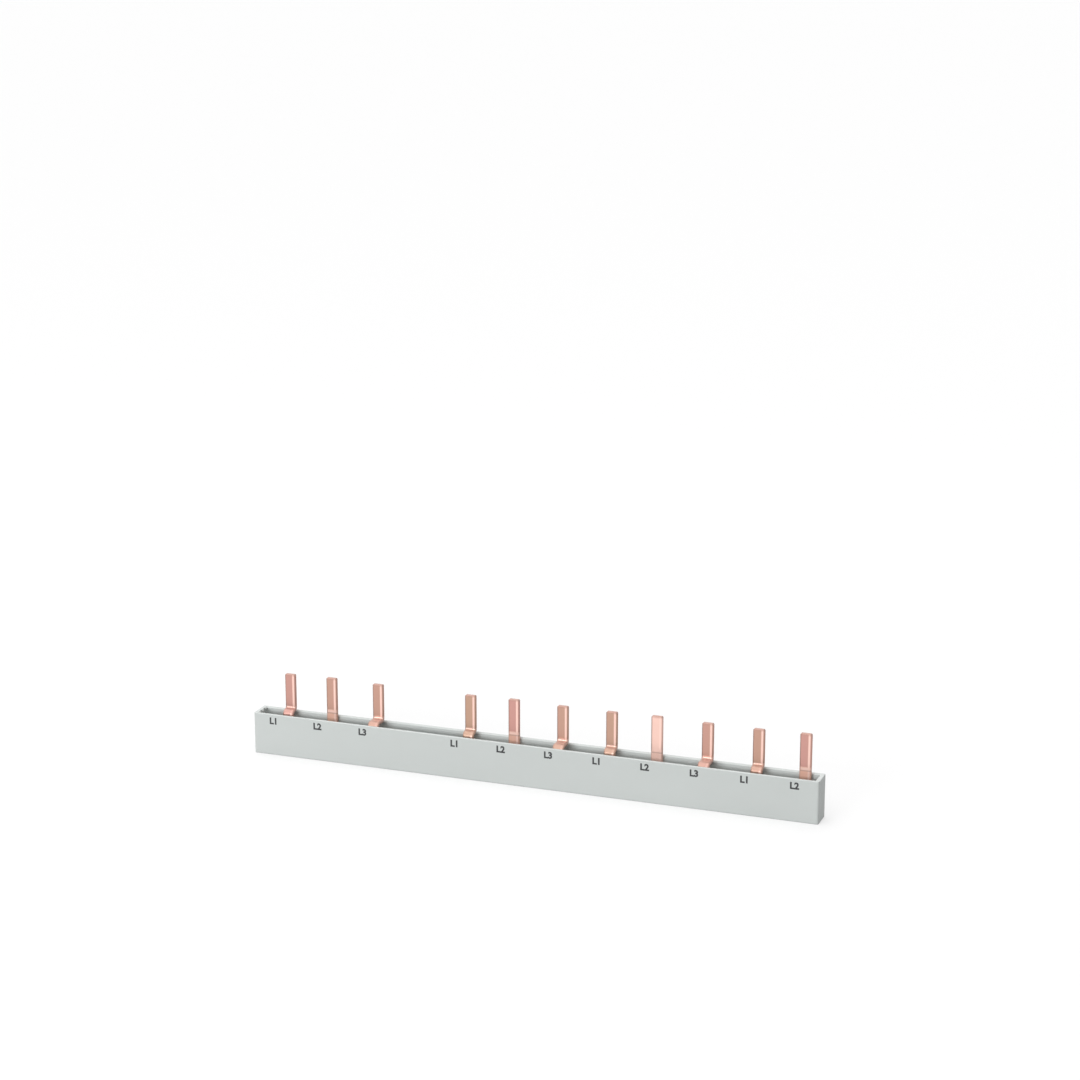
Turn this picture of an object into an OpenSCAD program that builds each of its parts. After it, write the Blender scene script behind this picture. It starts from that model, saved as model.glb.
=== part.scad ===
// Comb busbar with pins, three phases, for a row of one-module switching devices.
// Millimetres. X runs along the row of pins, Y from the lettered front to the back and Z up
// along the pins. The origin is the middle of the housing's underside.
// Three stamped copper combs stand on edge in a deep, narrow tray. Insulating strips part them.
// The front and middle combs are cranked backwards above the tray, so that every pin lies in
// the plane of the rear comb.

/* [Row of pins] */
// Distance from one pin place to the next
pitch = 17.8; // [17.5:0.1:18.2]
// Number of pin places in the row
places = 12; // [8:1:14]
// Place without a pin, where the neutral pole of the first device sits
free_place = 4; // [4:3:7]
// Left end of the housing to the first pin place
first_offset = 11.5; // [8:0.1:16]
// Last pin place to the right end of the housing
last_offset = 6.1; // [5.5:0.1:16]

/* [Housing] */
// Height of the housing
housing_h = 15.5; // [14:0.1:20]
// Thickness of the front and back walls
wall_t = 1.1; // [0.8:0.05:2]
// Thickness of the floor
floor_t = 1.3; // [1:0.05:2.5]
// Thickness of the end walls
end_t = 1.8; // [1.2:0.1:2.4]
// Radius of the four upright edges
corner_r = 0.8; // [0.3:0.05:1]
// Chamfer along the outer edges of the rim and the underside
edge_chamfer = 0.2; // [0.05:0.05:0.25]
// Lead-in chamfer along the inner edges of the rim
mouth_chamfer = 0.4; // [0.1:0.05:0.45]

/* [Combs] */
// Thickness of the copper
comb_t = 1.5; // [1:0.1:2]
// Height of the strip that joins a comb's pins
strip_h = 6.7; // [5:0.1:7.5]
// Gap between a comb and the wall on each side of it
comb_clear = 0.1; // [0.05:0.05:0.2]
// Gap at each end of a comb when it lies in the middle of the tray
end_play = 0.7; // [0.65:0.05:1.2]
// How far the first phase's comb lies from the middle of the tray, to the right if above 0
shift_l1 = 0.55; // [-0.6:0.05:0.6]
// How far the second phase's comb lies from the middle of the tray
shift_l2 = -0.6; // [-0.6:0.05:0.6]
// How far the third phase's comb lies from the middle of the tray
shift_l3 = 0.05; // [-0.6:0.05:0.6]
// Fillet where a pin's stem grows out of its strip
root_r = 1; // [0.4:0.1:1.5]
// Square stretch of a stem above its fillets, before its edges are coined
stub_h = 0.5; // [0.3:0.1:1.5]

/* [Pins] */
// Width of a pin
pin_w = 4.3; // [3:0.1:5]
// Height of the straight pins above the housing's rim
pin_rise = 14.4; // [10:0.1:18]
// How much lower the cranked pins end, because the crank takes up some of their length
crank_loss = 0.35; // [0:0.05:1]
// Radius that coining gives a pin's long edges, held below half the copper's thickness
pin_edge_r = 0.7; // [0.1:0.05:0.9]
// Chamfer at the corners of a pin's tip
tip_chamfer = 0.5; // [0.2:0.05:1]
// Chamfer on the front and back of a pin's tip
tip_bevel = 0.2; // [0.1:0.05:0.4]
// Height above the rim of the copper's middle line where a pin is cranked backwards
crank_rise = 0.4; // [0.3:0.05:1.5]

/* [Insulating strips] */
// Thickness of an insulating strip
separator_t = 0.8; // [0.5:0.05:1.2]
// Depth of the strips' upper edges below the rim
separator_drop = 3.1; // [2.2:0.1:4]
// Depth of the grooves that hold the strips in the floor and the end walls
groove_depth = 0.5; // [0.3:0.05:0.7]
// Gap between a strip and its groove on each side, and at its ends
groove_clear = 0.05; // [0.02:0.01:0.1]

/* [Hidden] */
$fn = 48;
eps = 0.01;

// Lengthwise
row_l = (places - 1) * pitch;
housing_l = first_offset + row_l + last_offset;
inner_l = housing_l - 2 * end_t;
strip_l = inner_l - 2 * end_play;
left_x = -housing_l / 2;
function place_x(place) = left_x + first_offset + (place - 1) * pitch;

// Across: each channel holds one comb, and an insulating strip stands between two channels
channel_w = comb_t + 2 * comb_clear;
channel_step = channel_w + separator_t;
inner_d = 3 * channel_w + 2 * separator_t;
housing_d = inner_d + 2 * wall_t;
function channel_y(channel) = (channel - 1) * channel_step;
FRONT = 0;
MIDDLE = 1;
REAR = 2;
pin_y = channel_y(REAR);
// Two quarter bends in a row carry the middle line of the copper over by one channel
bend_mid_r = channel_step / 2;

// The coined edges leave a narrow flat down each side of a pin
coined_r = min(pin_edge_r, 0.47 * comb_t);

// Upwards
strip_top = floor_t + strip_h;
tip_z = housing_h + pin_rise;
crank_z = housing_h + crank_rise;
stub_top = strip_top + root_r + stub_h;

// The phase of each place: 0, 1 and 2 in turn, starting again after the free place
function phase(place) = place < free_place ? (place - 1) % 3 : (place - free_place - 1) % 3;
function pin_places(wanted) =
    [for (place = [1 : places]) if (place != free_place && phase(place) == wanted) place];

// A rectangle around the origin with round corners
module rounded_rectangle(width, depth, radius) {
    square([width - 2 * radius, depth], center = true);
    square([width, depth - 2 * radius], center = true);
    for (x = [-1, 1], y = [-1, 1])
        translate([x * (width / 2 - radius), y * (depth / 2 - radius)]) circle(radius);
}

// A rectangle from y = 0 up, centred on x, with its four corners cut off
module chamfered_rectangle(width, height, cut) {
    half = width / 2;
    polygon([
        [-half + cut, 0], [half - cut, 0], [half, cut], [half, height - cut],
        [half - cut, height], [-half + cut, height], [-half, height - cut], [-half, cut]
    ]);
}

// Draws in the plane of Y and Z, and makes what is drawn deep along X
module across_x() {
    rotate([90, 0, 90]) children();
}

// The outside of the housing: its plan, its end view and its front view in one
module housing_block() {
    intersection() {
        linear_extrude(housing_h) rounded_rectangle(housing_l, housing_d, corner_r);
        across_x()
            linear_extrude(housing_l + 2, center = true)
                chamfered_rectangle(housing_d, housing_h, edge_chamfer);
        rotate([90, 0, 0])
            linear_extrude(housing_d + 2, center = true)
                chamfered_rectangle(housing_l, housing_h, edge_chamfer);
    }
}

// The groove for one insulating strip, in the floor and up both end walls
module separator_groove(between) {
    width = separator_t + 2 * groove_clear;
    length = inner_l + 2 * groove_depth;
    translate([-length / 2, channel_y(between) - width / 2, floor_t - groove_depth])
        cube([length, width, housing_h]);
}

// An opening of the given width that grows wider at the rim, drawn up past it
module mouth_profile(width) {
    half = width / 2;
    polygon([
        [-half, housing_h - mouth_chamfer], [half, housing_h - mouth_chamfer],
        [half + mouth_chamfer, housing_h], [half + mouth_chamfer, housing_h + 1],
        [-half - mouth_chamfer, housing_h + 1], [-half - mouth_chamfer, housing_h]
    ]);
}

// The lead-in chamfer round the mouth of the tray, mitred in its corners
module mouth() {
    intersection() {
        across_x() linear_extrude(housing_l, center = true) mouth_profile(inner_d);
        rotate([90, 0, 0]) linear_extrude(housing_d, center = true) mouth_profile(inner_l);
    }
}

module housing() {
    color("#cfd2d0")
        difference() {
            housing_block();
            translate([-inner_l / 2, -inner_d / 2, floor_t]) cube([inner_l, inner_d, housing_h]);
            mouth();
            separator_groove(0.5);
            separator_groove(1.5);
        }
}

// An insulating strip on edge, between the channels on either side of it
module separator(between) {
    length = inner_l + 2 * (groove_depth - groove_clear);
    bottom = floor_t - groove_depth;
    color("#b9bdbb")
        translate([-length / 2, channel_y(between) - separator_t / 2, bottom])
            cube([length, separator_t, housing_h - separator_drop - bottom]);
}

// The cross-section of a pin, with its width along Y of the drawing
module pin_section() {
    rounded_rectangle(comb_t, pin_w, coined_r);
}

// A quarter bend of a pin around the origin, from the given direction anticlockwise
module pin_bend(from) {
    rotate(from) rotate_extrude(angle = 90) translate([bend_mid_r, 0]) pin_section();
}

// The end of a pin, with its corners cut so that it finds the terminal
module pin_tip(from_z, to_z) {
    intersection() {
        translate([0, 0, from_z]) linear_extrude(to_z - from_z)
            rounded_rectangle(pin_w, comb_t, coined_r);
        rotate([90, 0, 0])
            linear_extrude(comb_t + 2, center = true)
                chamfered_rectangle(pin_w, to_z, tip_chamfer);
        across_x()
            linear_extrude(pin_w + 2, center = true)
                chamfered_rectangle(comb_t, to_z, tip_bevel);
    }
}

// A stem that rises in its channel and bends back to the plane of the pins, and the pin on it
module cranked_pin(channel) {
    step = pin_y - channel_y(channel);
    shelf_l = step - 2 * bend_mid_r;
    lower_end = crank_z - bend_mid_r;
    upper_end = crank_z + bend_mid_r;
    translate([0, channel_y(channel), 0]) {
        translate([0, 0, stub_top - eps]) linear_extrude(lower_end - stub_top + eps)
            rounded_rectangle(pin_w, comb_t, coined_r);
        across_x() {
            translate([bend_mid_r, lower_end, 0]) pin_bend(90);
            if (shelf_l > 0)
                translate([bend_mid_r, crank_z, 0])
                    rotate([90, 0, 90]) linear_extrude(shelf_l) pin_section();
            translate([step - bend_mid_r, upper_end, 0]) pin_bend(-90);
        }
        translate([0, step, 0]) pin_tip(upper_end, tip_z - crank_loss);
    }
}

// A stem and pin in one straight line, for the comb that lies in the plane of the pins
module straight_pin() {
    translate([0, pin_y, 0]) pin_tip(stub_top - eps, tip_z);
}

// The stamped blank up to the pins' roots: a strip, and a filleted stub under each pin
module comb_blank(shift, channel, at_places) {
    translate([0, channel_y(channel) + comb_t / 2, 0])
        rotate([90, 0, 0])
            linear_extrude(comb_t) {
                translate([shift - strip_l / 2, floor_t]) square([strip_l, strip_h]);
                for (place = at_places)
                    translate([shift + place_x(place), strip_top]) pin_stub();
            }
}

module pin_stub() {
    difference() {
        translate([-pin_w / 2 - root_r, -root_r]) square([pin_w + 2 * root_r, 2 * root_r]);
        for (side = [-1, 1])
            translate([side * (pin_w / 2 + root_r), root_r]) circle(root_r);
    }
    translate([-pin_w / 2, 0]) square([pin_w, stub_top - strip_top]);
}

module comb(wanted, channel, shift) {
    at_places = pin_places(wanted);
    color("#c8917c")
        union() {
            comb_blank(shift, channel, at_places);
            for (place = at_places)
                translate([shift + place_x(place), 0, 0])
                    if (channel == REAR) straight_pin();
                    else cranked_pin(channel);
        }
}

housing();
separator(0.5);  // separator_front
separator(1.5);  // separator_rear
comb(0, MIDDLE, shift_l1);  // comb_l1
comb(1, REAR, shift_l2);  // comb_l2
comb(2, FRONT, shift_l3);  // comb_l3
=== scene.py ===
# %% [markdown]
# # A comb busbar, dressed for its picture
# A comb busbar carries three phases along a row of switching devices. Three stamped copper combs
# stand on edge in a narrow grey tray, and their pins reach up into the devices' terminals. The
# solids of the tray, the insulating strips and the combs come from the frame at their real size.
# This lesson gives each of them its finish, prints the phase marks, and sets up a plain studio.

# %% Load the frame
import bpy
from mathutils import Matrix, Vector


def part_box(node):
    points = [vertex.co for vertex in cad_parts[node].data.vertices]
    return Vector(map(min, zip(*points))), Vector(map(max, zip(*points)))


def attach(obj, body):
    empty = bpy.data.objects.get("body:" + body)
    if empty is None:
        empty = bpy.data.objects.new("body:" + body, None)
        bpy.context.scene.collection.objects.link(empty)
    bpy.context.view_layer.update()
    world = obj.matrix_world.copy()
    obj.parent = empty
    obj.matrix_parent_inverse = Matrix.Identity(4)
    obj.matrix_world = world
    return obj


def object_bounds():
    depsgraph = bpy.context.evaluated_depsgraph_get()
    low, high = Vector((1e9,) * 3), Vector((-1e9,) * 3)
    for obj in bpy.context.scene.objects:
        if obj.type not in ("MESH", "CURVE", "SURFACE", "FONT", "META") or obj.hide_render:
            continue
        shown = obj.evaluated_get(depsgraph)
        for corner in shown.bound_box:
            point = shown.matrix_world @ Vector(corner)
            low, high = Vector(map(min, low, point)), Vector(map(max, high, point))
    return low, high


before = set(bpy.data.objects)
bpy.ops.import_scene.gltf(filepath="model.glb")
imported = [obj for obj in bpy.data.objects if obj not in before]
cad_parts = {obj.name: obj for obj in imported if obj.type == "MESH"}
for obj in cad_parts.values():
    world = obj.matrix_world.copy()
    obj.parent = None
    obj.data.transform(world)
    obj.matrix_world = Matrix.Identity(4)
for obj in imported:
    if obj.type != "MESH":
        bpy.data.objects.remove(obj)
cad_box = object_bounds()
print("CAD nodes:", sorted(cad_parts))

# %% Tools and units
import math

import bmesh
import bpy
from mathutils import Matrix, Vector

MM = 0.001
left_end, front_face, underside = cad_box[0]
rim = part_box("housing")[1][2]
print("CAD box in mm:", [[round(value / MM, 2) for value in corner] for corner in cad_box])
print("rim of the tray at z =", round(rim / MM, 2), "mm")

# %% [markdown]
# ## The camera
# The busbar is long and low, so it is seen from the front with a long lens, a little from its
# right end and from above. A camera can be placed by typing its location and angles, but then
# nobody can see what they mean. Here it stands at an azimuth, an elevation and a distance from a
# point that it looks at. That point is above the tray, which leaves the upper part of the
# picture empty. The lamps are aimed later with the same helpers.

# %% Aim a camera or a lamp
def direction(azimuth, elevation):
    """The direction from the object towards a camera or lamp: azimuth 0 is straight in front."""
    turn = math.radians(azimuth)
    rise = math.radians(elevation)
    return Vector((math.sin(turn) * math.cos(rise), -math.cos(turn) * math.cos(rise), math.sin(rise)))


def point_at(thing, place, target):
    """Stand a camera or lamp at a place and turn it to look at a target."""
    thing.location = place
    thing.rotation_mode = "QUATERNION"
    thing.rotation_quaternion = (target - place).to_track_quat("-Z", "Y")


def add_to_scene(name, data):
    thing = bpy.data.objects.new(name, data)
    bpy.context.scene.collection.objects.link(thing)
    return thing


print("straight in front is towards", [round(part) for part in direction(0, 0)])

# %% Place the camera
LENS = 85.26
SENSOR = 36.0
CAMERA_AZIMUTH = 20.373
CAMERA_ELEVATION = 14.686
CAMERA_DISTANCE = 909.33 * MM
AIM_ABOVE_TRAY = Vector((-3.43, 19.64, 84.44)) * MM

camera_data = bpy.data.cameras.new("camera")
camera_data.lens = LENS
camera_data.sensor_width = SENSOR
camera_data.clip_start = 10 * MM
camera_data.clip_end = 50.0
camera = add_to_scene("camera", camera_data)
camera_place = AIM_ABOVE_TRAY + direction(CAMERA_AZIMUTH, CAMERA_ELEVATION) * CAMERA_DISTANCE
point_at(camera, camera_place, AIM_ABOVE_TRAY)
bpy.context.scene.camera = camera
print("camera at", [round(value, 4) for value in camera.location])

# %% [markdown]
# ## Helpers for node trees
# A finish is a tree of shader nodes. Writing every node out takes four or five lines, so a few
# small helpers keep the trees readable. The first adds a node and fills its inputs, each with a
# plain value or with the output of another node. The next two stand for the nodes that turn up
# most often, a sum and a change of range. The last starts a node group, for an effect that more
# than one material uses.

# %% Add nodes and groups
def add_node(tree, kind, inputs=None, **settings):
    node = tree.nodes.new(kind)
    for name, value in settings.items():
        setattr(node, name, value)
    for key, value in (inputs or {}).items():
        if isinstance(value, bpy.types.NodeSocket):
            tree.links.new(value, node.inputs[key])
        else:
            node.inputs[key].default_value = value
    return node


def calculate(tree, operation, *values, **settings):
    """The result of one sum on plain values or on the outputs of other nodes."""
    terms = dict(enumerate(values))
    return add_node(tree, "ShaderNodeMath", terms, operation=operation, **settings).outputs[0]


def remap(tree, value, low, high, start=0.0, end=1.0):
    """Carry a value from the range low..high over to start..end, and go no further."""
    ranges = {"Value": value, "From Min": low, "From Max": high, "To Min": start, "To Max": end}
    return add_node(tree, "ShaderNodeMapRange", ranges).outputs["Result"]


def new_group(name, inputs, outputs):
    """A node group with named sockets: inputs are (name, kind, default), outputs (name, kind)."""
    group = bpy.data.node_groups.new(name, "ShaderNodeTree")
    for socket_name, kind, default in inputs:
        socket = group.interface.new_socket(socket_name, in_out="INPUT", socket_type=kind)
        socket.default_value = default
    for socket_name, kind in outputs:
        group.interface.new_socket(socket_name, in_out="OUTPUT", socket_type=kind)
    entry = group.nodes.new("NodeGroupInput")
    leave = group.nodes.new("NodeGroupOutput")
    return group, entry.outputs, leave.inputs


# %% [markdown]
# ## Shared effect: grain
# Moulded plastic, rolled copper and printed ink all have a texture far finer than their shape,
# and slow changes of tone over a larger distance. Both could be painted in an image, but an image
# has to be wrapped round each solid and blurs when it is seen from near. Noise on Object
# coordinates needs no wrapping. They are metres here, so a size in millimetres turns into a
# scale. The group takes two sizes and a stretch, because rolling and drawing pull the texture out
# in one direction.

# %% Build the grain group
def size_to_scale(tree, size):
    """Noise repeats about once per unit at scale 1, so the scale is one over the size."""
    return calculate(tree, "DIVIDE", 1.0, size)


def build_grain():
    group, given, result = new_group(
        "grain",
        [("Fine Size", "NodeSocketFloat", 0.25 * MM), ("Broad Size", "NodeSocketFloat", 12 * MM),
         ("Stretch", "NodeSocketVector", (1.0, 1.0, 1.0))],
        [("Fine", "NodeSocketFloat"), ("Broad", "NodeSocketFloat")])
    place = add_node(group, "ShaderNodeTexCoord").outputs["Object"]
    stretched = add_node(group, "ShaderNodeVectorMath", {0: place, 1: given["Stretch"]},
                         operation="MULTIPLY").outputs[0]
    for name, detail in (("Fine", 3.0), ("Broad", 2.0)):
        noise = add_node(group, "ShaderNodeTexNoise", {
            "Vector": stretched, "Scale": size_to_scale(group, given[f"{name} Size"]),
            "Detail": detail, "Roughness": 0.55})
        group.links.new(noise.outputs["Fac"], result[name])
    return group


grain = build_grain()
print("group", grain.name, "with", len(grain.nodes), "nodes")

# %% [markdown]
# ## Shared effect: worn and highlighted edges
# Handling polishes the edges of a real part and rounds them a little more than the drawing says.
# A bevel in the mesh could round them, but the solids keep their meshes. So the Bevel node does
# it in the finish: it gives the normal that a rounded edge would have. The true normal agrees
# with it fully on a flat face and less on an edge, and that makes the mask. The finishes make
# the edges lighter by the mask, which is partly wear and partly a painted highlight where a
# rounded edge would catch the light. Noise breaks the mask up, because wear is never even.

# %% Build the worn edge group
FLAT_AGREEMENT = 1.0
EDGE_AGREEMENT = 0.8
WEAR_PATCHES = (0.3, 0.65)
LEAST_WEAR = 0.35


# The edge mask lightens the finishes: partly wear, partly a painted highlight.
def build_worn_and_highlit_edges():
    group, given, result = new_group(
        "worn_and_highlit_edges",
        [("Radius", "NodeSocketFloat", 0.15 * MM), ("Strength", "NodeSocketFloat", 1.0),
         ("Patch Size", "NodeSocketFloat", 3 * MM)],
        [("Mask", "NodeSocketFloat"), ("Normal", "NodeSocketVector")])
    rounded = add_node(group, "ShaderNodeBevel", {"Radius": given["Radius"]}, samples=6).outputs["Normal"]
    true_normal = add_node(group, "ShaderNodeNewGeometry").outputs["Normal"]
    agreement = add_node(group, "ShaderNodeVectorMath", {0: rounded, 1: true_normal},
                         operation="DOT_PRODUCT").outputs["Value"]
    edge = remap(group, agreement, FLAT_AGREEMENT, EDGE_AGREEMENT)
    place = add_node(group, "ShaderNodeTexCoord").outputs["Object"]
    patches = add_node(group, "ShaderNodeTexNoise", {
        "Vector": place, "Scale": size_to_scale(group, given["Patch Size"]), "Detail": 2.0}).outputs["Fac"]
    uneven = remap(group, patches, *WEAR_PATCHES, LEAST_WEAR, 1.0)
    broken = calculate(group, "MULTIPLY", edge, uneven)
    group.links.new(calculate(group, "MULTIPLY", broken, given["Strength"]), result["Mask"])
    group.links.new(rounded, result["Normal"])
    return group


worn_and_highlit_edges = build_worn_and_highlit_edges()
print("group", worn_and_highlit_edges.name, "with", len(worn_and_highlit_edges.nodes), "nodes")

# %% [markdown]
# ## Grey plastic of the tray and the insulating strips
# The tray is a pale, slightly green grey thermoplastic with a satin skin. One function makes both
# greys, because the strips are the same kind of plastic in another shade. The colour drifts by a
# few per cent along the part, the gloss changes with the fine grain, and the edges are a little
# lighter, partly where they have been handled and partly as a painted highlight. Four more
# helpers start a material, place a group in it, mix two colours and spread out a noise.

# %% Start a material
USUAL_NOISE = (0.3, 0.7)


def new_material(name):
    material = bpy.data.materials.new(name)
    material.use_nodes = True
    shader = material.node_tree.nodes["Principled BSDF"]
    return material, material.node_tree, shader


def use_group(tree, group, values):
    return add_node(tree, "ShaderNodeGroup", values, node_tree=group).outputs


def mix_colours(tree, share, first, second):
    """The first colour where the share is 0, and the second where it is 1."""
    mixed = add_node(tree, "ShaderNodeMix", data_type="RGBA")
    for key, value in (("Factor", share), ("A", first), ("B", second)):
        socket = next(s for s in mixed.inputs if s.name == key and s.enabled)
        if isinstance(value, bpy.types.NodeSocket):
            tree.links.new(value, socket)
        else:
            socket.default_value = value if key == "Factor" else (*value, 1.0)
    return next(s for s in mixed.outputs if s.enabled)


def spread(tree, noise, start=0.0, end=1.0):
    """Noise stays near its middle, so this carries its usual range over to start..end."""
    return remap(tree, noise, *USUAL_NOISE, start, end)


# %% Make the two plastics
DARKEST_DRIFT = 0.965
GLOSSIER = 0.05
DULLER = 0.06


def plastic(name, shade, edge_shade, roughness):
    material, tree, shader = new_material(name)
    texture = use_group(tree, grain, {"Fine Size": 0.3 * MM, "Broad Size": 18 * MM, "Stretch": (0.5, 1, 1)})
    edges = use_group(tree, worn_and_highlit_edges, {"Radius": 0.18 * MM, "Strength": 0.4, "Patch Size": 5 * MM})
    darker = tuple(channel * DARKEST_DRIFT for channel in shade)
    body = mix_colours(tree, spread(tree, texture["Broad"]), darker, shade)
    tree.links.new(mix_colours(tree, edges["Mask"], body, edge_shade), shader.inputs["Base Color"])
    gloss = spread(tree, texture["Fine"], roughness - GLOSSIER, roughness + DULLER)
    tree.links.new(gloss, shader.inputs["Roughness"])
    bump = add_node(tree, "ShaderNodeBump", {
        "Height": texture["Fine"], "Normal": edges["Normal"], "Strength": 0.25, "Distance": 0.02 * MM})
    tree.links.new(bump.outputs["Normal"], shader.inputs["Normal"])
    shader.inputs["IOR"].default_value = 1.5
    shader.inputs["Specular IOR Level"].default_value = 0.4
    return material


# The lighter edge shades are partly handling wear and partly a painted highlight.
tray_grey = plastic("tray_grey_plastic", shade=(0.561, 0.591, 0.579), edge_shade=(0.70, 0.72, 0.71),
                    roughness=0.48)
strip_grey = plastic("insulating_strip_plastic", shade=(0.36, 0.38, 0.37), edge_shade=(0.45, 0.47, 0.46),
                     roughness=0.55)
print("plastics:", tray_grey.name, strip_grey.name)

# %% [markdown]
# ## Shared effect: where on its pin a point lies
# The pins were punched and coined one by one. The painted highlights and painted shade lie at the
# same place on each pin, while the tone differs from pin to pin. A painted mask for each pin would
# be eleven masks. This group needs one: the pins stand at an even pitch, so wrapping the length
# coordinate by the pitch gives the place across a pin, from -1 at its left edge to 1 at its right
# edge, and the whole number of pitches tells which pin it is. A colour ramp with one flat step for
# each place then holds what differs: red is the share of tan in its copper, green is its painted
# sheen, a painted highlight over its face. The free place has a step too, for the strip of copper
# that runs on below it.

# %% Values of the row of pins
PLACES = 12
PITCH = 17.8 * MM
PIN_WIDTH = 4.3 * MM
FIRST_PIN_FROM_END = 11.5 * MM
FIRST_PIN = left_end + FIRST_PIN_FROM_END
PIN_TAN = {1: 0.3, 2: 0.6, 3: 0.6, 4: 0.5, 5: 0.95, 6: 0.0,
           7: 0.6, 8: 0.9, 9: 0.6, 10: 0.5, 11: 0.6, 12: 0.15}
# Pin 9 gets a painted sheen: a painted highlight over its face.
PIN_PAINTED_SHEEN = {9: 0.82}
last_place = FIRST_PIN + (PLACES - 1) * PITCH
print("places from x =", round(FIRST_PIN / MM, 2), "to", round(last_place / MM, 2), "mm")

# %% Build the pin place group
def build_pin_steps(tree, number):
    """A ramp with a flat step for each place: its tan in red and its painted sheen, a painted highlight, in
    green.
    """
    middle_of_step = calculate(tree, "ADD", number, 0.5)
    ramp = add_node(tree, "ShaderNodeValToRGB", {"Fac": calculate(tree, "DIVIDE", middle_of_step, PLACES)})
    ramp.color_ramp.interpolation = "CONSTANT"
    steps = ramp.color_ramp.elements
    steps.remove(steps[1])
    for place in range(1, PLACES + 1):
        step = steps[0] if place == 1 else steps.new((place - 1) / PLACES)
        step.color = (PIN_TAN[place], PIN_PAINTED_SHEEN.get(place, 0.0), 0.0, 1.0)
    return add_node(tree, "ShaderNodeSeparateColor", {"Color": ramp.outputs["Color"]}).outputs


def build_pin_place():
    group, given, result = new_group(
        "pin_place",
        [("First Pin", "NodeSocketFloat", FIRST_PIN)],
        [("Across", "NodeSocketFloat"), ("Tan", "NodeSocketFloat"), ("Painted Sheen", "NodeSocketFloat"),
         ("Height", "NodeSocketFloat")])
    place = add_node(group, "ShaderNodeTexCoord").outputs["Object"]
    place = add_node(group, "ShaderNodeSeparateXYZ", {"Vector": place}).outputs
    along = calculate(group, "SUBTRACT", place["X"], given["First Pin"])
    beside = calculate(group, "WRAP", along, PITCH / 2, -PITCH / 2)
    number = calculate(group, "ROUND", calculate(group, "DIVIDE", along, PITCH))
    steps = build_pin_steps(group, number)
    group.links.new(calculate(group, "DIVIDE", beside, PIN_WIDTH / 2), result["Across"])
    group.links.new(steps["Red"], result["Tan"])
    group.links.new(steps["Green"], result["Painted Sheen"])
    group.links.new(place["Z"], result["Height"])
    return group


pin_place = build_pin_place()
print("group", pin_place.name, "with", len(pin_place.nodes), "nodes")

# %% [markdown]
# ## Bare copper
# The combs are punched from rolled strip. The broad faces keep the satin of the rolls, with fine
# lines and patches of pinker and browner metal. A thin film of tarnish scatters a part of the
# light, most of all at the feet of the pins, so the metal is not quite a mirror. Over that lie
# darker cut edges, painted highlights and painted shade, and each is a mask: 1 where it is, 0
# where it isn't. A mask could be painted by hand, but here it comes from what is known of the
# point: its place across the pin, its height, and the way its surface faces. All heights are
# measured from the tray's rim.

# %% Values of the copper
COPPER_PINK = (0.550, 0.291, 0.255)
COPPER_TAN = (0.490, 0.308, 0.225)
# Darker cut copper on the sides and tips, also painted shade there and in the painted shade lines.
COPPER_CUT_AND_SHADE = (0.380, 0.230, 0.190)
# A painted highlight colour, which on the worn edges is partly real burnish.
COPPER_HIGHLIGHT_AND_BURNISH = (0.900, 0.610, 0.530)
# Painted light on the feet of the straight pins.
COPPER_PAINTED_FOOT_LIGHT = (0.880, 0.530, 0.410)
TARNISH = 0.2
FOOT_TARNISH = 0.7
BEND_TOP = rim + 1.9 * MM
# Height of the painted highlight line across the pins.
HIGHLIGHT_LINE_HEIGHT = rim + 1.7 * MM
# Height of the painted shade line across the pins.
SHADE_LINE_HEIGHT = rim + 1.1 * MM
print("painted highlight line at z =", round(HIGHLIGHT_LINE_HEIGHT / MM, 2), "mm and painted shade line at z =", round(SHADE_LINE_HEIGHT / MM, 2), "mm")

# %% Combine masks and read the normal
def multiply(tree, first, second):
    return calculate(tree, "MULTIPLY", first, second)


def larger(tree, first, second):
    return calculate(tree, "MAXIMUM", first, second)


def normal_part(tree, axis):
    """How far the surface faces along an axis, from -1 to 1."""
    normal = add_node(tree, "ShaderNodeTexCoord").outputs["Normal"]
    return add_node(tree, "ShaderNodeSeparateXYZ", {"Vector": normal}).outputs[axis]


def below(tree, pin, height, fade, strength=1.0):
    """As strong as given below a height, and fading out over a distance above it."""
    return remap(tree, pin["Height"], height, height + fade, strength, 0.0)


# %% [markdown]
# ## Painted highlights, cut edges and stretched copper
# A painted highlight runs down the right part of the front of each pin, and the worn edges get it
# too. The punched sides and the cut tips are rougher and darker, and the same darker colour
# paints shade on the sides and on the faces just below the tips, the right sides less than the
# left. The stretched skin on top of a crank is matt, and the streak stops there. Each pair of
# numbers below says where a mask begins to rise or fall, and where it has done so. They are places
# across the pin for the streak, depths below the tip for the tips, and parts of the normal for
# the rest.

# %% Mask the streak, the sides, the tips and the bends
STREAK_BEGINS = (0.36, 0.50)
STREAK_ENDS = (0.70, 0.82)
FACING_RIGHT = (0.45, 0.75)
FACING_LEFT = (-0.10, -0.55)
RIGHT_SIDE_STRENGTH = 0.5
TIP_DEPTHS = (0.9 * MM, 0.27 * MM)
TIP_STRENGTH = 0.55
TIP_NEAR_ENOUGH = (0.0, 0.3)
CUT_FACING_UP = (0.2, 0.6)
BEND_FACING_UP = (0.05, 0.45)


def painted_highlight_streak(tree, pin):
    """1 along a painted highlight on the right part of the front of each pin."""
    begun = remap(tree, pin["Across"], *STREAK_BEGINS)
    not_ended = remap(tree, pin["Across"], *STREAK_ENDS, 1.0, 0.0)
    return multiply(tree, begun, not_ended)


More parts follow.
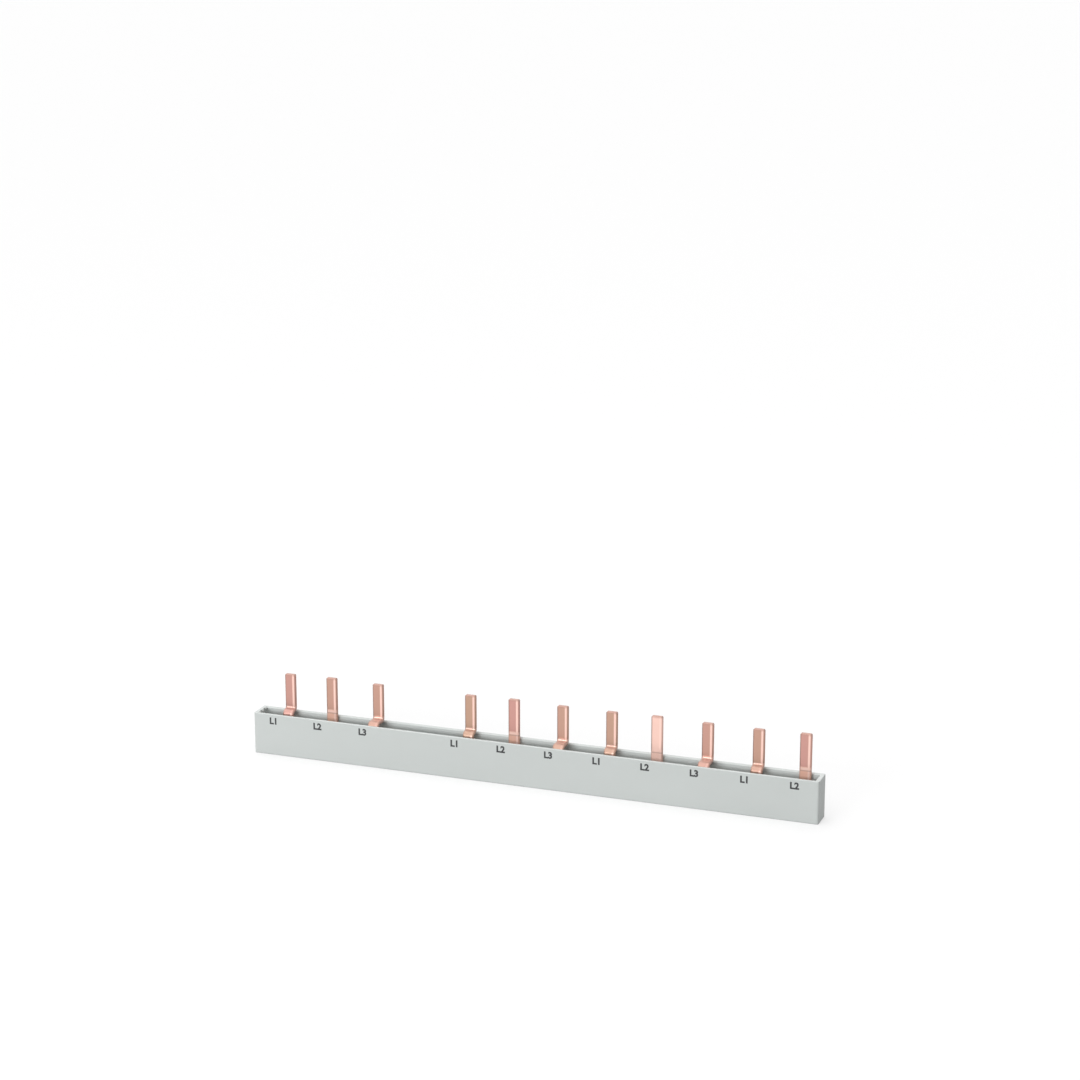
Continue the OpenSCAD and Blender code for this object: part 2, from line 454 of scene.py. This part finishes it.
def cut_and_shaded_sides(tree):
    """1 on the left sides of the pins and weaker on the right ones: duller cut copper, and painted shade.
    """
    right = remap(tree, normal_part(tree, "X"), *FACING_RIGHT, 0.0, RIGHT_SIDE_STRENGTH)
    left = remap(tree, normal_part(tree, "X"), *FACING_LEFT)
    return larger(tree, right, left)


def tip_faces(tree, pin, tip_z):
    """1 on the cut end of a pin and weaker on its broad faces until it fades out below: darker cut copper
    on the end, and painted shade there and on the faces.
    """
    starts, full = (tip_z - depth for depth in TIP_DEPTHS)
    near = remap(tree, pin["Height"], starts, full, 0.0, TIP_STRENGTH)
    facing_up = remap(tree, normal_part(tree, "Z"), *CUT_FACING_UP)
    cut = multiply(tree, facing_up, remap(tree, near, *TIP_NEAR_ENOUGH))
    return larger(tree, near, cut)


def matt_bend(tree, pin):
    """1 on the upper side of a crank, where the skin of the copper is stretched."""
    facing_up = remap(tree, normal_part(tree, "Z"), *BEND_FACING_UP)
    return multiply(tree, facing_up, below(tree, pin, BEND_TOP, MM))


streak_reach = [round(share * PIN_WIDTH / 2 / MM, 2) for share in (STREAK_BEGINS[0], STREAK_ENDS[1])]
print("streak from and to, in mm right of a pin's middle:", streak_reach)

# %% [markdown]
# ## Painted lines across the pins
# Just above the tray, a painted highlight runs across the front of each pin, and a painted shade
# line below it. The flat shelf of a long crank gets painted shade too. The lines are masks on the
# height, and they are kept to the surfaces that face the front of the tray.

# %% Mask the lines across the pins
FACING_FRONT = (0.3, 0.0)
# Width and strength of the painted shade line, and of the painted shade on the shelf.
SHADE_LINE_HALF_WIDTH = 0.35 * MM
SHADE_LINE_STRENGTH = 0.6
SHELF_FACING_UP = (0.85, 0.98)
SHELF_SHADE_STRENGTH = 0.35
# Half width of the painted highlight line.
HIGHLIGHT_LINE_HALF_WIDTH = 0.7 * MM


def front_faces(tree):
    """1 on what faces the front of the tray, where the painted lines and the painted light on the feet lie.
    """
    return remap(tree, normal_part(tree, "Y"), *FACING_FRONT)


def line_across(tree, pin, height, half_width, strength):
    """A soft line across the front of every pin at a height, as strong as given in its middle."""
    distance = calculate(tree, "ABSOLUTE", calculate(tree, "SUBTRACT", pin["Height"], height))
    line = remap(tree, distance, 0.0, half_width, strength, 0.0)
    return multiply(tree, line, front_faces(tree))


def painted_shade_places(tree, pin):
    """A painted shade line below the painted highlight line, and painted shade on the shelf of a long
    crank.
    """
    shelf = remap(tree, normal_part(tree, "Z"), *SHELF_FACING_UP, 0.0, SHELF_SHADE_STRENGTH)
    low_shelf = multiply(tree, shelf, below(tree, pin, BEND_TOP, MM))
    return larger(tree, line_across(tree, pin, SHADE_LINE_HEIGHT, SHADE_LINE_HALF_WIDTH, SHADE_LINE_STRENGTH), low_shelf)


print("painted shade line", round(2 * SHADE_LINE_HALF_WIDTH / MM, 2), "mm wide")

# %% [markdown]
# ## The combs
# The feet of the straight pins, which nothing bends, get painted light, and their painted
# highlight line is the strongest. The three combs could share one copper with a mask for the
# straight one, but each comb is a solid of its own. So each gets a copper of its own from one
# function, with two values: how much painted light the feet of its pins get, and how strong and
# wide the painted highlight line is. The masks are made first, then the colour as layers from the
# rolled face upwards, and last the roughness, the bump and the tarnish.

# %% Gather the masks
STREAK_LEFT_ON_BEND = 0.15
FOOT_SIDE_STRENGTH = 0.5
FOOT_LIGHT_ABOVE_LINE = 0.4 * MM
FOOT_LIGHT_FADE = 0.6 * MM


def copper_masks(tree, pin, worn_and_highlit, tip_z, foot_brightness, highlight_strength):
    """Every place where the copper differs from its rolled face."""
    bend = matt_bend(tree, pin)
    off_the_bend = remap(tree, bend, 0.0, 1.0, 1.0, STREAK_LEFT_ON_BEND)
    streak = multiply(tree, larger(tree, painted_highlight_streak(tree, pin), worn_and_highlit), off_the_bend)
    highlight_line_mask = line_across(tree, pin, HIGHLIGHT_LINE_HEIGHT, highlight_strength * HIGHLIGHT_LINE_HALF_WIDTH, highlight_strength)
    foot = below(tree, pin, SHADE_LINE_HEIGHT, HIGHLIGHT_LINE_HEIGHT - SHADE_LINE_HEIGHT)
    foot_light = below(tree, pin, HIGHLIGHT_LINE_HEIGHT + FOOT_LIGHT_ABOVE_LINE, FOOT_LIGHT_FADE, foot_brightness)
    sides = multiply(tree, cut_and_shaded_sides(tree), remap(tree, foot, 0.0, 1.0, 1.0, FOOT_SIDE_STRENGTH))
    # bright foot is painted light, bright is painted highlight with some wear on the edges, and the dark
    # masks are painted shade, on the cut edges also duller copper.
    return {
        "bend": bend,
        "foot": foot,
        "bright foot": multiply(tree, foot_light, front_faces(tree)),
        "bright": larger(tree, streak, highlight_line_mask),
        "painted shade places": painted_shade_places(tree, pin),
        "cut and shade": larger(tree, sides, tip_faces(tree, pin, tip_z))}


print("bright feet up to z =", round((HIGHLIGHT_LINE_HEIGHT + FOOT_LIGHT_ABOVE_LINE) / MM, 2), "mm")

# %% Make the copper of each comb
TONE_PATCHES = (0.35, 0.65)
PATCHINESS = 0.2
ROLLED_ROUGHNESS = (0.28, 0.36)
DULL_ROUGHER = 0.16
# Painted light on the feet of each comb's pins, and the strength of its painted highlight line.
FOOT_BRIGHTNESS = {"comb_l1": 0.0, "comb_l2": 0.8, "comb_l3": 0.0}
HIGHLIGHT_LINE_STRENGTH = {"comb_l1": 0.7, "comb_l2": 1.2, "comb_l3": 0.9}


def copper_colour(tree, pin, patches, mask):
    """The rolled face, then painted light on the feet and painted highlights, then painted shade and the
    darker cut copper over them.
    """
    tone = calculate(tree, "ADD", pin["Tan"], patches, use_clamp=True)
    colour = mix_colours(tree, tone, COPPER_PINK, COPPER_TAN)
    for share, shade in ((mask["bright foot"], COPPER_PAINTED_FOOT_LIGHT), (pin["Painted Sheen"], COPPER_HIGHLIGHT_AND_BURNISH),
                         (mask["bright"], COPPER_HIGHLIGHT_AND_BURNISH), (mask["painted shade places"], COPPER_CUT_AND_SHADE),
                         (mask["cut and shade"], COPPER_CUT_AND_SHADE)):
        colour = mix_colours(tree, share, colour, shade)
    return colour


def copper(name, comb_box, foot_brightness, highlight_strength):
    material, tree, shader = new_material(name)
    texture = use_group(tree, grain, {
        "Fine Size": 0.16 * MM, "Broad Size": 9 * MM, "Stretch": (1.0, 1.0, 0.08)})
    edges = use_group(tree, worn_and_highlit_edges, {"Radius": 0.12 * MM, "Strength": 0.4, "Patch Size": 2 * MM})
    comb_middle = (comb_box[0][0] + comb_box[1][0]) / 2
    pin = use_group(tree, pin_place, {"First Pin": FIRST_PIN + comb_middle})
    mask = copper_masks(tree, pin, edges["Mask"], comb_box[1][2], foot_brightness, highlight_strength)
    patches = remap(tree, texture["Broad"], *TONE_PATCHES, -PATCHINESS, PATCHINESS)
    tree.links.new(copper_colour(tree, pin, patches, mask), shader.inputs["Base Color"])
    lines = spread(tree, texture["Fine"], *ROLLED_ROUGHNESS)
    dull = larger(tree, mask["cut and shade"], mask["bend"])
    tree.links.new(calculate(tree, "MULTIPLY_ADD", dull, DULL_ROUGHER, lines), shader.inputs["Roughness"])
    bump = add_node(tree, "ShaderNodeBump", {
        "Height": texture["Fine"], "Strength": 0.2, "Distance": 0.01 * MM})
    tree.links.new(bump.outputs["Normal"], shader.inputs["Normal"])
    at_foot = larger(tree, mask["foot"], mask["bright foot"])
    metal = remap(tree, at_foot, 0.0, 1.0, 1.0 - TARNISH, 1.0 - FOOT_TARNISH)
    tree.links.new(metal, shader.inputs["Metallic"])
    return material


coppers = {}
for comb, foot_brightness in FOOT_BRIGHTNESS.items():
    coppers[comb] = copper(f"copper_of_{comb}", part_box(comb), foot_brightness, HIGHLIGHT_LINE_STRENGTH[comb])
print("coppers:", [material.name for material in coppers.values()])

# %% [markdown]
# ## Give each solid its finish
# The solids keep their shape and place. Only the material in each slot changes. The slots could
# be filled one by one, but a rule that follows the node's name misses none of them.

# %% Assign the finishes
def finish_of(node_name):
    if node_name in coppers:
        return coppers[node_name]
    if node_name.startswith("separator"):
        return strip_grey
    return tray_grey


for node_name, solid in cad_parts.items():
    for slot in solid.material_slots:
        slot.material = finish_of(node_name)
    print(node_name, "->", finish_of(node_name).name)

# %% [markdown]
# ## Phase marks
# Each pin has its phase printed below it on the front of the tray: L1, L2 and L3 in turn, with
# nothing below the free place. Letters are hard to draw with nodes, and the print is a real
# layer of ink, so each mark is a thin solid made from a text. The text becomes a mesh first,
# because a finished piece has its place in its mesh. Half of its thickness sinks into the wall,
# so that no gap shows behind it. The marks are a hair further apart than the pins.

# %% Values of the marks
FREE_PLACE = 4
MARK_STEP = 17.9 * MM
FIRST_MARK_FROM_END = 7.83 * MM
MARK_BELOW_RIM = 2.46 * MM
CAPITAL_H = 2.6 * MM
BOLDNESS = 0.045
INK_THICKNESS = 0.012 * MM


def phase(place):
    """1, 2 and 3 in turn, starting again after the free place."""
    return (place - 1) % 3 + 1 if place < FREE_PLACE else (place - FREE_PLACE - 1) % 3 + 1


marked_places = [place for place in range(1, PLACES + 1) if place != FREE_PLACE]
print("marks:", [f"L{phase(place)}" for place in marked_places])

# %% Make the ink
DENSE_INK = (0.02, 0.021, 0.023)
THIN_INK = (0.06, 0.062, 0.065)
THIN_PATCHES = (0.45, 0.75)
INK_ROUGHNESS = (0.4, 0.6)


def printing_ink(name):
    material, tree, shader = new_material(name)
    texture = use_group(tree, grain, {
        "Fine Size": 0.2 * MM, "Broad Size": 2 * MM, "Stretch": (1.0, 1.0, 1.0)})
    thin = remap(tree, texture["Fine"], *THIN_PATCHES)
    tree.links.new(mix_colours(tree, thin, DENSE_INK, THIN_INK), shader.inputs["Base Color"])
    tree.links.new(spread(tree, texture["Fine"], *INK_ROUGHNESS), shader.inputs["Roughness"])
    return material


ink = printing_ink("phase_mark_ink")
print("ink:", ink.name)

# %% Make a text a mesh
def text_mesh(words):
    """A text as a closed mesh one unit thick, which the next step brings to its real size."""
    curve = bpy.data.curves.new("mark_text", "FONT")
    curve.body = words
    curve.align_x = "CENTER"
    curve.extrude = 0.5
    curve.offset = BOLDNESS
    curve.resolution_u = 4
    writing = add_to_scene("mark_text", curve)
    evaluated = writing.evaluated_get(bpy.context.evaluated_depsgraph_get())
    mesh = bpy.data.meshes.new_from_object(evaluated)
    bpy.data.objects.remove(writing)
    bpy.data.curves.remove(curve)
    return mesh


def corners(form):
    """The lowest and the highest corner of the box around a form."""
    low = Vector([min(vertex.co[axis] for vertex in form.verts) for axis in range(3)])
    high = Vector([max(vertex.co[axis] for vertex in form.verts) for axis in range(3)])
    return low, high


# %% Print the marks
def phase_mark(place):
    mesh = text_mesh(f"L{phase(place)}")
    form = bmesh.new()
    form.from_mesh(mesh)
    bmesh.ops.remove_doubles(form, verts=form.verts, dist=1e-5)
    bmesh.ops.recalc_face_normals(form, faces=form.faces)
    low, high = corners(form)
    size = CAPITAL_H / (high.y - low.y)
    x = left_end + FIRST_MARK_FROM_END + (place - 1) * MARK_STEP
    spot = Vector((x, front_face, rim - MARK_BELOW_RIM))
    bmesh.ops.translate(form, verts=form.verts, vec=-(low + high) / 2)
    bmesh.ops.scale(form, verts=form.verts, vec=(size, size, INK_THICKNESS))
    bmesh.ops.rotate(form, verts=form.verts, matrix=Matrix.Rotation(math.radians(90), 3, "X"))
    bmesh.ops.translate(form, verts=form.verts, vec=spot)
    form.to_mesh(mesh)
    form.free()
    mesh.materials.clear()
    mesh.materials.append(ink)
    mark = add_to_scene(f"phase_mark_{place:02d}", mesh)
    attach(mark, "root")
    return mark


marks = [phase_mark(place) for place in marked_places]
print(len(marks), "marks, the first with", len(marks[0].data.polygons), "faces")

# %% [markdown]
# ## The floor
# The part stands on a plain white floor. A floor under plain light renders a little below white,
# and stronger lamps would bleach the part as well. So the camera and the copper see the floor
# with a small glow on top, by Light Path. The shadow stays, because the glow is added to the lit
# floor and doesn't replace it.

# %% Lay the floor
FLOOR_RADIUS = 8.0
FLOOR_GAP = 0.02 * MM


def seen_directly(tree):
    """1 for the camera's rays and those seen in metal or glass, 0 for the light on the object."""
    path = add_node(tree, "ShaderNodeLightPath").outputs
    camera_or_metal = larger(tree, path["Is Camera Ray"], path["Is Glossy Ray"])
    return larger(tree, camera_or_metal, path["Is Transmission Ray"])


def floor_material(name, albedo, glow):
    material, tree, shader = new_material(name)
    shader.inputs["Base Color"].default_value = (albedo, albedo, albedo, 1.0)
    shader.inputs["Roughness"].default_value = 0.9
    shader.inputs["Specular IOR Level"].default_value = 0.0
    shader.inputs["Emission Color"].default_value = (1.0, 1.0, 1.0, 1.0)
    tree.links.new(multiply(tree, seen_directly(tree), glow), shader.inputs["Emission Strength"])
    return material


def lay_floor():
    form = bmesh.new()
    bmesh.ops.create_circle(form, cap_ends=True, radius=FLOOR_RADIUS, segments=96)
    bmesh.ops.translate(form, verts=form.verts, vec=(0, 0, underside - FLOOR_GAP))
    mesh = bpy.data.meshes.new("floor")
    form.to_mesh(mesh)
    form.free()
    mesh.materials.append(floor_material("white_floor", albedo=0.42, glow=0.53))
    floor = add_to_scene("floor", mesh)
    return floor


floor = lay_floor()
print("floor at z =", round(floor.data.vertices[0].co.z / MM, 3), "mm")

# %% [markdown]
# ## The light
# Three soft lamps and a dim world light the part. The top light could be a large soft box, but
# that would light the middle of so long a part more than its ends. So it is a sun with a wide
# angle: it is even along the whole tray, and its shadow is soft. A second sun from behind lights
# the rim and reaches down between the combs. The front of the tray gets its light from a soft box
# that stands low, a little to the left, which keeps the right end darker than the front. The box
# is wide but not tall, so that the front wall throws a clear shadow on the inside of the back
# wall. The world is dim for the light on the object and white where it is seen.

# %% Hang the lamps
SUN_DISTANCE = 2.0


def sun_lamp(name, azimuth, elevation, strength, angle):
    """A light from one direction, as soft as its angle in degrees is wide."""
    data = bpy.data.lights.new(name, "SUN")
    data.energy = strength
    data.angle = math.radians(angle)
    lamp = add_to_scene(name, data)
    point_at(lamp, direction(azimuth, elevation) * SUN_DISTANCE, Vector((0, 0, 0)))
    return lamp


def soft_box(name, azimuth, elevation, distance, width, height, power):
    """A rectangle of light that faces the middle of the part, with its sizes in metres."""
    data = bpy.data.lights.new(name, "AREA")
    data.shape = "RECTANGLE"
    data.size = width
    data.size_y = height
    data.energy = power
    lamp = add_to_scene(name, data)
    middle = (Vector(cad_box[0]) + Vector(cad_box[1])) / 2
    point_at(lamp, middle + direction(azimuth, elevation) * distance, middle)
    return lamp


top = sun_lamp("top", azimuth=-25, elevation=74, strength=2.1, angle=90)
back = sun_lamp("back", azimuth=200, elevation=42, strength=0.8, angle=60)
front = soft_box("front", azimuth=-18, elevation=12, distance=1.2, width=0.7, height=0.2, power=7.0)
print("lamps:", [lamp.name for lamp in (top, back, front)])

# %% Fill the world
WORLD_LEVEL = 0.28

world = bpy.data.worlds.new("studio")
world.use_nodes = True
bpy.context.scene.world = world
backdrop = world.node_tree.nodes["Background"]
backdrop.inputs["Color"].default_value = (1.0, 1.0, 1.0, 1.0)
level = remap(world.node_tree, seen_directly(world.node_tree), 0.0, 1.0, WORLD_LEVEL, 1.0)
world.node_tree.links.new(level, backdrop.inputs["Strength"])
bpy.context.scene.view_settings.view_transform = "Standard"
print("world at", WORLD_LEVEL, "for the light on the object")
